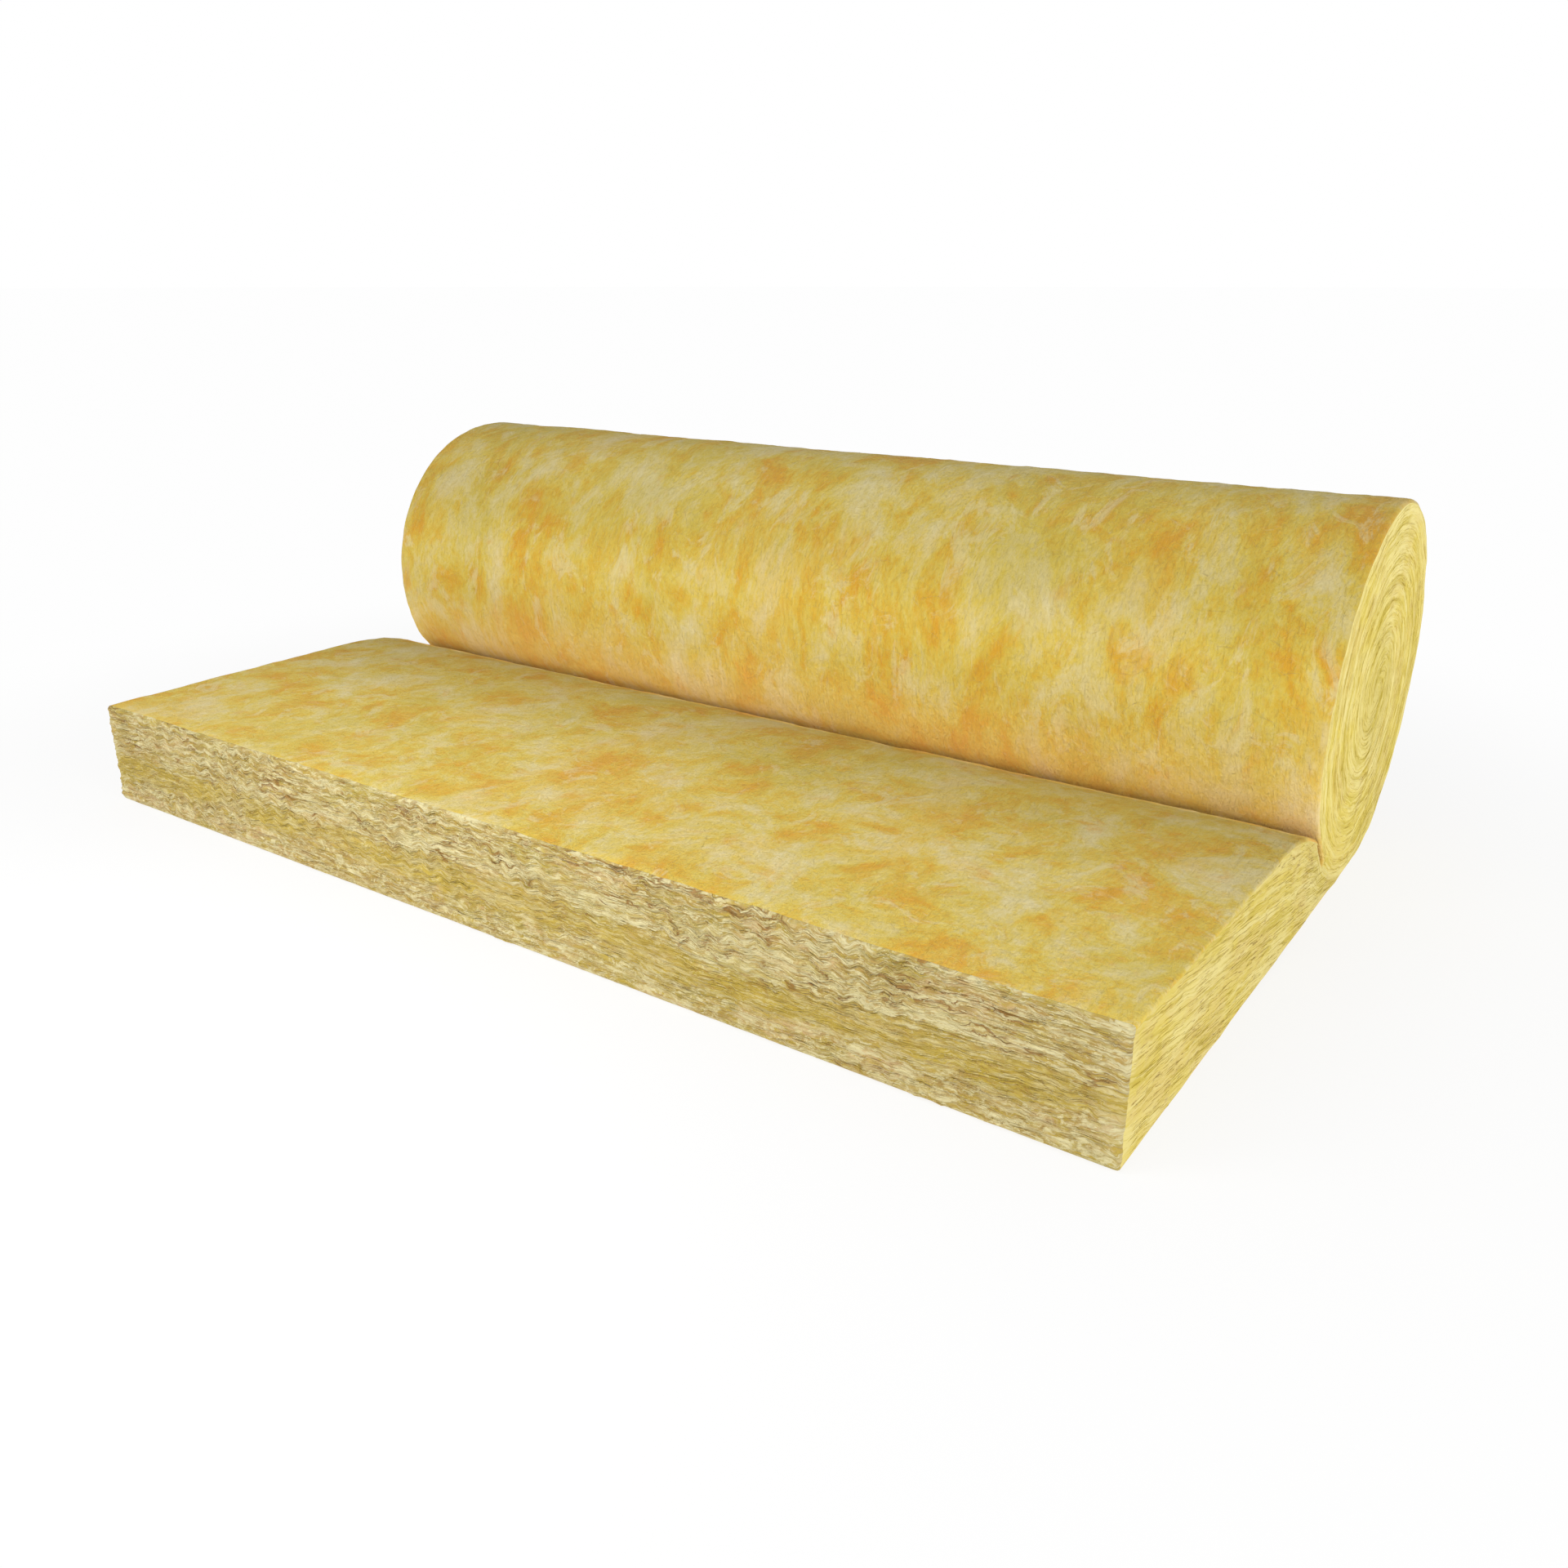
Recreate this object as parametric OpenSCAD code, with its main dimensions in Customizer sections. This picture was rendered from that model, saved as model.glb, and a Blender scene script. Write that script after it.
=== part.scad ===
// Part-unrolled insulation roll: one blanket of soft mineral wool, wound into a
// roll whose free end lies flat on the floor in front of it.
// X runs along the blanket's width, Y from the cut end back to the roll, Z up.
// The origin is on the floor, under the middle of the whole object.

/* [Blanket] */
// Width of the blanket, which is the length of the roll
blanket_w = 1200; // [400:10:2400]
// Thickness of the blanket where it lies free
blanket_t = 112; // [60:1:160]
// Length that lies flat, from the cut end to below the middle of the roll
flat_l = 611; // [450:1:1500]

/* [Roll] */
// Outside diameter of the roll
roll_d = 368; // [260:2:600]
// Thickness of one turn inside the roll, where the wool is pressed together
turn_t = 47; // [25:1:80]
// Radius of the closed middle, where the innermost turn is folded on itself
middle_r = 12; // [6:1:20]

/* [Meeting of the flat end and the roll] */
// How much the roll presses the flat end down at the place where they meet
press_h = 28; // [0:1:40]
// Length over which the flat end sinks to that place
sink_l = 128; // [60:1:200]
// How late the sinking starts: 1 is a straight ramp, more keeps the top flat longer
sink_power = 2.3; // [1:0.1:4]
// Depth of the open crease, measured round the roll
crease_l = 50; // [10:1:90]
// Width of the open crease
crease_w = 5; // [3.5:0.5:10]

/* [Turns seen on the ends] */
// Width of the seam between two turns
seam_w = 3; // [1:0.5:3]
// Depth of the seam in each end face
seam_depth = 6; // [2:1:15]

/* [Hidden] */

// Angle between two points of a round outline
step_a = 6;
sink_steps = 10;
// Angles round the roll, seen from its right-hand end; 180 is the side of the cut end
top_a = 90;
back_a = 0;
bottom_a = -90;
// The crease's inner lip runs out to the roll's outside over this angle
lip_a = 4;
// How far the seam's cutter stands out of the end face
cutter_clear = 5;

roll_r = roll_d / 2;
depth = flat_l + roll_r;
// The roll's own axis in the object's frame
axis_y = depth / 2 - roll_r;
axis_z = roll_r;
front_y = axis_y - flat_l;

// The flat end meets the roll where its pressed top touches the roll's circle
meet_z = blanket_t - press_h;
meet_a = 180 + asin((roll_r - meet_z) / roll_r);
crease_a = meet_a + crease_l / roll_r * 180 / PI;
seam_end_a = meet_a + (roll_r - middle_r) / turn_t * 360;

// A point at radius r and angle a from the roll's axis
function polar(r, a) = [axis_y + r * cos(a), axis_z + r * sin(a)];

// Angles from a to b in equal steps of at most step_a, both ends included
function sweep(a, b) =
    let (count = ceil(abs(b - a) / step_a))
    [for (i = [0:count]) a + (b - a) * i / count];

// All of a list but its first item
function rest_of(list) = [for (i = [1:len(list) - 1]) list[i]];

// Angles of the roll's outside, with one at its very top, back and bottom
function outside_angles() = concat(
    sweep(meet_a - lip_a, top_a),
    rest_of(sweep(top_a, back_a)),
    rest_of(sweep(back_a, bottom_a))
);

// Radius of the seam, which winds in by one turn's thickness in each full turn
function seam_r(a) = roll_r - turn_t * (a - meet_a) / 360;

// One wall of the seam, offset outward from its middle line
function seam_wall(from_a, to_a, offset_r) =
    [for (a = sweep(from_a, to_a)) polar(seam_r(a) + offset_r, a)];

// Top of the flat end, from where it starts to sink to the mouth of the crease
function sinking_top() =
    let (end = polar(roll_r + crease_w / 2, meet_a),
         start_y = end[0] - sink_l,
         drop = blanket_t - end[1])
    [for (i = [0:sink_steps - 1])
        let (u = i / sink_steps)
        [start_y + sink_l * u, blanket_t - drop * pow(u, sink_power)]];

// Section across the whole blanket: flat end, crease and the outside of the roll
module blanket_section() {
    polygon(concat(
        [[front_y, 0], [front_y, blanket_t]],
        sinking_top(),
        seam_wall(meet_a, crease_a, crease_w / 2),
        seam_wall(crease_a, meet_a, -crease_w / 2),
        [for (a = outside_angles()) polar(roll_r, a)]
    ));
}

// Outline of the spiral seam, from the meeting place to the roll's middle
module seam_section() {
    polygon(concat(
        seam_wall(meet_a, seam_end_a, seam_w / 2),
        seam_wall(seam_end_a, meet_a, -seam_w / 2)
    ));
}

// Stands a section drawn in Y and Z upright and runs it along X
module along_x(from_x, length) {
    translate([from_x, 0, 0])
        rotate([90, 0, 90])
            linear_extrude(height = length)
                children();
}

module wool_blanket() {
    color("khaki")
        difference() {
            along_x(-blanket_w / 2, blanket_w)
                blanket_section();
            along_x(-blanket_w / 2 - cutter_clear, cutter_clear + seam_depth)
                seam_section();
            along_x(blanket_w / 2 - seam_depth, cutter_clear + seam_depth)
                seam_section();
        }
}

wool_blanket();
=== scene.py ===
"""A part-unrolled roll of glass wool: one soft blanket, matted, streaked and square cut.

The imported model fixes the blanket's place and size. One detailed piece stands for its
plain solid, and fine loose fibres are laid over the felt, the cut face and the two ends.
"""

import logging
import math
from collections.abc import Callable
from dataclasses import dataclass
from enum import Enum

import bmesh
import bpy
import numpy as np
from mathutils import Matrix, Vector, geometry, noise
from mathutils.bvhtree import BVHTree


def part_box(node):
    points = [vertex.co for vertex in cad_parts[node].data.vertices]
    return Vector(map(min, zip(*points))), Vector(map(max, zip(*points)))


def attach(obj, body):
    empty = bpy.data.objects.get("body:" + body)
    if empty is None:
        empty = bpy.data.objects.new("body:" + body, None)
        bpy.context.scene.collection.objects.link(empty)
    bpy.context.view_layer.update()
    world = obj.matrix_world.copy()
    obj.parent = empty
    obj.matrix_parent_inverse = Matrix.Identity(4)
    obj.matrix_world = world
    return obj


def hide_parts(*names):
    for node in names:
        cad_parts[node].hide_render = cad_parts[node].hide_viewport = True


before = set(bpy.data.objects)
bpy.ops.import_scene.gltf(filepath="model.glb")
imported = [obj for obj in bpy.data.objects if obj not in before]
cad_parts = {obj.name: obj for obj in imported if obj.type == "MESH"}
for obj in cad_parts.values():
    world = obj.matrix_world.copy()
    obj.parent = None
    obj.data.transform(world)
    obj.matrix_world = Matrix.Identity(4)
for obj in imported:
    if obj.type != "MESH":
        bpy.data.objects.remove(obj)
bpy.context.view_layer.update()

LOG = logging.getLogger("insulation_roll")
NODE = "wool_blanket"
BODY = "root"
FELT_UV = "felt_flat"
TINY = 1e-6
SEED_GAP = 17.3
NOISE_FADE = 0.9
NOISE_FINER = 2.1


class Zone(Enum):
    """Which finish a face of the blanket takes; the value is its material slot."""

    FELT = 0
    CUT = 1
    END = 2


# ---------------------------------------------------------------------------
# Shader maths
# ---------------------------------------------------------------------------


def math_method(operation: str, swapped: bool = False) -> Callable:
    """Makes a method that adds one Math node to a value and its operands.

    Args:
        operation: The node's operation.
        swapped: Whether the value comes after its operands.

    Returns:
        The method.
    """
    def method(value: "Value", *others: object) -> "Value":
        """Adds the node."""
        operands = (*others, value) if swapped else (value, *others)
        return value.graph.math(operation, *operands)

    return method


class Value:
    """A shader socket on which Python arithmetic adds Math nodes."""

    __add__ = __radd__ = math_method("ADD")
    __mul__ = __rmul__ = math_method("MULTIPLY")
    __sub__ = math_method("SUBTRACT")
    __rsub__ = math_method("SUBTRACT", swapped=True)
    __truediv__ = math_method("DIVIDE")
    __pow__ = math_method("POWER")
    sqrt = math_method("SQRT")
    floor = math_method("FLOOR")
    abs = math_method("ABSOLUTE")
    smaller = math_method("MINIMUM")
    larger = math_method("MAXIMUM")
    # The angle of the point (other, value), in radians
    angle = math_method("ARCTAN2")

    def __init__(self, graph: "Graph", socket: bpy.types.NodeSocket) -> None:
        """Keeps the graph that holds the socket."""
        self.graph = graph
        self.socket = socket

    def ramp(self, low: float, high: float, start: float = 0.0, end: float = 1.0) -> "Value":
        """Maps low..high smoothly onto start..end and holds it outside.

        Args:
            low: Value that gives start.
            high: Value that gives end.
            start: Result at low.
            end: Result at high.

        Returns:
            The mapped value.
        """
        return self.graph.node(
            "ShaderNodeMapRange",
            {"interpolation_type": "SMOOTHSTEP"},
            {"Value": self, "From Min": low, "From Max": high, "To Min": start, "To Max": end},
        )


class Graph:
    """The node tree of one material, with short ways to add nodes."""

    def __init__(self, name: str) -> None:
        """Makes an empty material.

        Args:
            name: The material's name.
        """
        self.material = bpy.data.materials.new(name)
        self.material.use_nodes = True
        self.tree = self.material.node_tree
        self.tree.nodes.clear()

    def node(self, kind: str, settings: dict, inputs: dict, output: object = 0) -> Value:
        """Adds any node.

        Args:
            kind: The node's type.
            settings: Properties, set before the sockets are filled.
            inputs: Socket name or number to a value, a link or a colour.
            output: Name or number of the output that is handed back.

        Returns:
            That output as a Value.
        """
        made = self.tree.nodes.new(kind)
        for name, setting in settings.items():
            setattr(made, name, setting)
        for name, value in inputs.items():
            self.feed(made.inputs[name], value)
        return Value(self, made.outputs[output])

    def feed(self, socket: bpy.types.NodeSocket, value: object) -> None:
        """Links a Value to a socket, or sets a constant on it."""
        if isinstance(value, Value):
            self.tree.links.new(value.socket, socket)
        else:
            socket.default_value = value

    def math(self, operation: str, *operands: object) -> Value:
        """Adds a Math node on one, two or three operands."""
        return self.node("ShaderNodeMath", {"operation": operation}, dict(enumerate(operands)))

    def vector(self, x: object, y: object, z: object = 0.0) -> Value:
        """Joins three values into a vector."""
        return self.node("ShaderNodeCombineXYZ", {}, {"X": x, "Y": y, "Z": z})

    def parts(self, vector: Value) -> tuple[Value, Value, Value]:
        """Splits a vector into its three values."""
        split = self.tree.nodes.new("ShaderNodeSeparateXYZ")
        self.feed(split.inputs[0], vector)
        return tuple(Value(self, split.outputs[i]) for i in range(3))

    def place(self) -> tuple[Value, Value, Value]:
        """Object coordinates in metres, as three values."""
        return self.parts(self.node("ShaderNodeTexCoord", {}, {}, "Object"))

    def flat_place(self) -> tuple[Value, Value]:
        """Across and along the unrolled felt, in metres, from the piece's own map."""
        across, along, _ = self.parts(self.node("ShaderNodeUVMap", {"uv_map": FELT_UV}, {}))
        return across, along

    def clouds(self, vector: Value, scale: float, detail: float = 3.0,
               roughness: float = 0.55, distortion: float = 0.0) -> Value:
        """Cloudy noise around a half.

        Args:
            vector: Where it is read.
            scale: Patches per unit of the vector.
            detail: Number of finer layers.
            roughness: Strength of each finer layer.
            distortion: How far the pattern is folded on itself.

        Returns:
            The noise as a Value.
        """
        return self.node("ShaderNodeTexNoise", {}, {
            "Vector": vector, "Scale": scale, "Detail": detail,
            "Roughness": roughness, "Distortion": distortion})

    def tint(self, factor: object, first: object, second: object, blend: str = "MIX") -> Value:
        """Mixes two colours.

        Args:
            factor: Nought for the first, one for the second.
            first: A colour or a link.
            second: A colour or a link.
            blend: The Mix node's way of blending.

        Returns:
            The mixed colour.
        """
        made = self.tree.nodes.new("ShaderNodeMix")
        made.data_type = "RGBA"
        made.blend_type = blend
        self.feed(made.inputs[0], factor)
        self.feed(made.inputs[6], first)
        self.feed(made.inputs[7], second)
        return Value(self, made.outputs[2])

    def stops(self, factor: Value, colours: dict[float, tuple]) -> Value:
        """Runs a value through a row of colours.

        Args:
            factor: The value that picks the colour.
            colours: Place on the row to colour.

        Returns:
            The picked colour.
        """
        made = self.tree.nodes.new("ShaderNodeValToRGB")
        ramp = made.color_ramp
        while len(ramp.elements) < len(colours):
            ramp.elements.new(0.5)
        for element, (spot, colour) in zip(ramp.elements, sorted(colours.items())):
            element.position, element.color = spot, colour
        self.feed(made.inputs["Fac"], factor)
        return Value(self, made.outputs["Color"])

    def bump(self, height: Value, strength: float, distance: float) -> Value:
        """A normal roughened by height, which counts in units of distance."""
        return self.node("ShaderNodeBump", {},
                         {"Height": height, "Strength": strength, "Distance": distance})

    def coat(self, colour: Value, *coats: tuple[object, object]) -> Value:
        """Lays colours over a colour, one after another.

        Args:
            colour: The colour below.
            coats: Pairs of a mask and the colour that it lays on.

        Returns:
            The mixed colour.
        """
        for mask, over in coats:
            colour = self.tint(mask, colour, over)
        return colour

    def surface(self, shader: Value) -> bpy.types.Material:
        """Links a shader to the material's surface and hands the material back."""
        out = self.tree.nodes.new("ShaderNodeOutputMaterial")
        self.feed(out.inputs["Surface"], shader)
        return self.material

    def finish(self, colour: Value, roughness: float, normal: Value) -> bpy.types.Material:
        """Closes the tree with a dull shader and the slight haze that fine fibres give.

        Args:
            colour: Base colour.
            roughness: Roughness.
            normal: A bumped normal.

        Returns:
            The finished material.
        """
        return self.surface(self.node("ShaderNodeBsdfPrincipled", {}, {
            "Base Color": colour, "Roughness": roughness, "Specular IOR Level": 0.15,
            "Sheen Weight": 0.08, "Sheen Roughness": 0.6,
            "Sheen Tint": (1.0, 0.93, 0.72, 1.0), "Normal": normal}))


def rgb(red: float, green: float, blue: float) -> tuple[float, float, float, float]:
    """A colour given as 0 to 255 display values, made linear for a shader.

    Args:
        red: Red, 0 to 255.
        green: Green, 0 to 255.
        blue: Blue, 0 to 255.

    Returns:
        The linear colour with full opacity.
    """
    shares = (channel / 255.0 for channel in (red, green, blue))
    linear = [s / 12.92 if s <= 0.04045 else ((s + 0.055) / 1.055) ** 2.4 for s in shares]
    return (*linear, 1.0)


# ---------------------------------------------------------------------------
# The blanket's shape
# ---------------------------------------------------------------------------


@dataclass(frozen=True)
class BlanketShape:
    """Sizes of the part-unrolled blanket, in metres, and the curves they give."""

    width: float
    roll_radius: float
    depth: float
    thickness: float = 0.112
    turn: float = 0.047
    middle_radius: float = 0.012
    press: float = 0.028
    sink_length: float = 0.128
    sink_power: float = 2.3
    crease_length: float = 0.050
    crease_width: float = 0.005

    @classmethod
    def from_frame(cls) -> "BlanketShape":
        """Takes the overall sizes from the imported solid."""
        low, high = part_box(NODE)
        size = high - low
        return cls(width=size.x, roll_radius=size.z / 2, depth=size.y)

    @property
    def axis_y(self) -> float:
        """Place of the roll's axis along Y."""
        return self.depth / 2 - self.roll_radius

    @property
    def front_y(self) -> float:
        """Place of the cut face along Y."""
        return -self.depth / 2

    @property
    def meet_angle(self) -> float:
        """Angle round the roll at which the flat end's top touches it."""
        height = self.thickness - self.press
        return math.pi + math.asin((self.roll_radius - height) / self.roll_radius)

    @property
    def seam_end_angle(self) -> float:
        """Angle at which the seam between the turns reaches the closed middle."""
        return self.meet_angle + (self.roll_radius - self.middle_radius) / self.turn * math.tau

    def polar(self, radius: object, angle: object) -> tuple:
        """Points (y, z) at a radius and angle from the roll's axis, numbers or arrays."""
        return (self.axis_y + radius * np.cos(angle),
                self.roll_radius + radius * np.sin(angle))

    def seam_radius(self, angle: float) -> float:
        """Radius of the seam between two turns, which winds in evenly."""
        return self.roll_radius - self.turn * (angle - self.meet_angle) / math.tau

    def top_height(self, y: np.ndarray) -> np.ndarray:
        """Height of the flat end's top above the floor.

        Args:
            y: Places along Y.

        Returns:
            The height at each place, which sinks towards the roll.
        """
        end_y, end_z = self.polar(self.roll_radius + self.crease_width / 2, self.meet_angle)
        sunk = np.clip((y - end_y + self.sink_length) / self.sink_length, 0, 1)
        return self.thickness - (self.thickness - end_z) * sunk ** self.sink_power


@dataclass(frozen=True)
class Crimp:
    """The waves that the layers of the cut face are pressed into, in metres."""

    wave: float = 0.0225
    height: float = 0.0025
    drift: float = 0.0065
    ripple: float = 0.0013
    wander: float = 3.2
    sharpness: float = 0.12

    def shift(self, x: np.ndarray, z: np.ndarray) -> np.ndarray:
        """How far the layer through each spot of the cut face is lifted.

        Args:
            x: Places along the cut face.
            z: Heights.

        Returns:
            The lift at each spot.
        """
        flat = np.column_stack([x, z, np.zeros_like(x)])
        patches = np.clip(wool_noise(flat, (5.0, 13.0, 1.0), 21, 2) * 2.0 + 0.15, 0, 1)
        phase = x * (math.tau / self.wave) + (
            self.wander * wool_noise(flat, (9.0, 7.0, 1.0), 22, 2))
        waves = np.sin(phase) - self.sharpness * np.sin(3 * phase)
        slow = wool_noise(flat, (6.0, 10.0, 1.0), 23, 2)
        fine = wool_noise(flat, (60.0, 110.0, 1.0), 24, 2)
        return waves * patches * self.height + slow * self.drift + fine * self.ripple

    def height_of(self, x: np.ndarray, layer: np.ndarray) -> np.ndarray:
        """Height at which a layer shows, found by stepping towards it twice.

        Args:
            x: Places along the cut face.
            layer: The layer's own height at each place.

        Returns:
            The height at each place.
        """
        height = layer
        for _ in range(2):
            height = layer + self.shift(x, height)
        return height


@dataclass
class SectionRing:
    """Points round the blanket's section, the zone of each edge and the place along it."""

    CORNER = 0.0036
    CORNER_POINTS = 4
    LIP_ANGLE = math.radians(4.0)
    FLOOR_STEP = 0.030
    CUT_STEP = 0.00106
    TOP_STEP = 0.0125
    SINK_STEP = 0.0065
    CREASE_STEP = 0.006
    ROLL_STEP = 0.0092

    points: np.ndarray
    zones: list[Zone]
    along: np.ndarray

    @classmethod
    def of(cls, shape: BlanketShape) -> "SectionRing":
        """Walks round the section from below the roll's axis, by the cut face.

        Args:
            shape: The blanket's sizes.

        Returns:
            The closed ring.
        """
        radius, front, top = shape.roll_radius, shape.front_y, shape.thickness
        corner, half = cls.CORNER, shape.crease_width / 2
        mouth_y, _ = shape.polar(radius + half, shape.meet_angle)
        sink_y = mouth_y - shape.sink_length
        crease_end = shape.meet_angle + shape.crease_length / radius
        sinking = np.arange(sink_y, mouth_y - TINY, cls.SINK_STEP)
        crease = cls._spread(shape.meet_angle, crease_end, cls.CREASE_STEP / radius)
        outside = cls._spread(
            shape.meet_angle - cls.LIP_ANGLE, -math.pi / 2, cls.ROLL_STEP / radius)[:-1]
        runs = [
            (Zone.FELT, cls._line((shape.axis_y, 0), (front + corner, 0), cls.FLOOR_STEP)),
            (Zone.CUT, cls._arc(front + corner, corner, corner, -90, -180)),
            (Zone.CUT, cls._line((front, corner), (front, top - corner), cls.CUT_STEP)),
            (Zone.CUT, cls._arc(front + corner, top - corner, corner, 180, 90)),
            (Zone.FELT, cls._line((front + corner, top), (sink_y, top), cls.TOP_STEP)),
            (Zone.FELT, np.column_stack([sinking, shape.top_height(sinking)])),
            (Zone.FELT, np.array([shape.polar(shape.seam_radius(a) + half, a)
                                  for a in crease])),
            (Zone.FELT, np.array([shape.polar(shape.seam_radius(a) - half, a)
                                  for a in crease[::-1]])),
            (Zone.FELT, np.array([shape.polar(radius, a) for a in outside])),
        ]
        points = np.vstack([run for _, run in runs])
        zones = [zone for zone, run in runs for _ in run]
        steps = np.linalg.norm(np.roll(points, -1, axis=0) - points, axis=1)
        return cls(points, zones, np.concatenate([[0.0], np.cumsum(steps)]))

    @staticmethod
    def _spread(start: float, end: float, step: float) -> np.ndarray:
        """Even values from start to end, both included, at most a step apart."""
        return np.linspace(start, end, max(2, math.ceil(abs(end - start) / step) + 1))

    @classmethod
    def _line(cls, start: tuple, end: tuple, step: float) -> np.ndarray:
        """Points on a straight run, without its last one."""
        count = len(cls._spread(0, math.dist(start, end), step))
        return np.linspace(start, end, count)[:-1]

    @classmethod
    def _arc(cls, y: float, z: float, radius: float, start: float, end: float) -> np.ndarray:
        """Points on a corner's arc, given in degrees, without its last one."""
        angles = np.radians(np.linspace(start, end, cls.CORNER_POINTS)[:-1])
        return np.column_stack([y + radius * np.cos(angles), z + radius * np.sin(angles)])

    def inward(self) -> np.ndarray:
        """Finds which way the wool lies from each point.

        Returns:
            One unit direction for each point.
        """
        before, after = np.roll(self.points, 1, axis=0), np.roll(self.points, -1, axis=0)
        run = after - before
        normal = np.column_stack([run[:, 1], -run[:, 0]])
        return normal / np.linalg.norm(normal, axis=1, keepdims=True)

    def depth_of(self, spots: np.ndarray) -> np.ndarray:
        """Distance from spots to the ring, negative outside it.

        Args:
            spots: Points (y, z).

        Returns:
            One distance for each spot.
        """
        start, end = self.points, np.roll(self.points, -1, axis=0)
        run = end - start
        nearest = np.full(len(spots), np.inf)
        inside = np.zeros(len(spots), bool)
        for (y0, z0), (dy, dz), (_, z1) in zip(start, run, end):
            offset = spots - (y0, z0)
            share = np.clip((offset @ (dy, dz)) / (dy * dy + dz * dz), 0, 1)
            gap = offset - share[:, None] * (dy, dz)
            nearest = np.minimum(nearest, np.hypot(gap[:, 0], gap[:, 1]))
            crosses = (z0 > spots[:, 1]) != (z1 > spots[:, 1])
            if dz:
                inside ^= crosses & (offset[:, 0] < dy * offset[:, 1] / dz)
        return np.where(inside, nearest, -nearest)


@dataclass(frozen=True)
class Winding:
    """Where a spot on an end face lies in the wound blanket."""

    turn: np.ndarray
    share: np.ndarray
    angle: np.ndarray
    radius: np.ndarray

    @classmethod
    def at(cls, shape: BlanketShape, y: np.ndarray, z: np.ndarray) -> "Winding":
        """Finds the turn, the share of its thickness and the whole angle wound.

        Args:
            shape: The blanket's sizes.
            y: Places along Y.
            z: Heights.

        Returns:
            The winding of each spot.
        """
        across, up = y - shape.axis_y, z - shape.roll_radius
        radius = np.hypot(across, up)
        angle = (np.arctan2(up, across) - shape.meet_angle) % math.tau
        wound = (shape.roll_radius - radius) / shape.turn - angle / math.tau
        turn = np.floor(wound)
        return cls(turn, wound - turn, angle + math.tau * turn, radius)


@dataclass(frozen=True)
class Lumps:
    """One layer of relief: height in metres, lumps for each unit, pattern and detail."""

    height: float
    scale: float | tuple[float, float, float]
    seed: int
    octaves: int

    def at(self, places: np.ndarray) -> np.ndarray:
        """The relief at points, one in each row."""
        return self.height * wool_noise(places, self.scale, self.seed, self.octaves)


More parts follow.
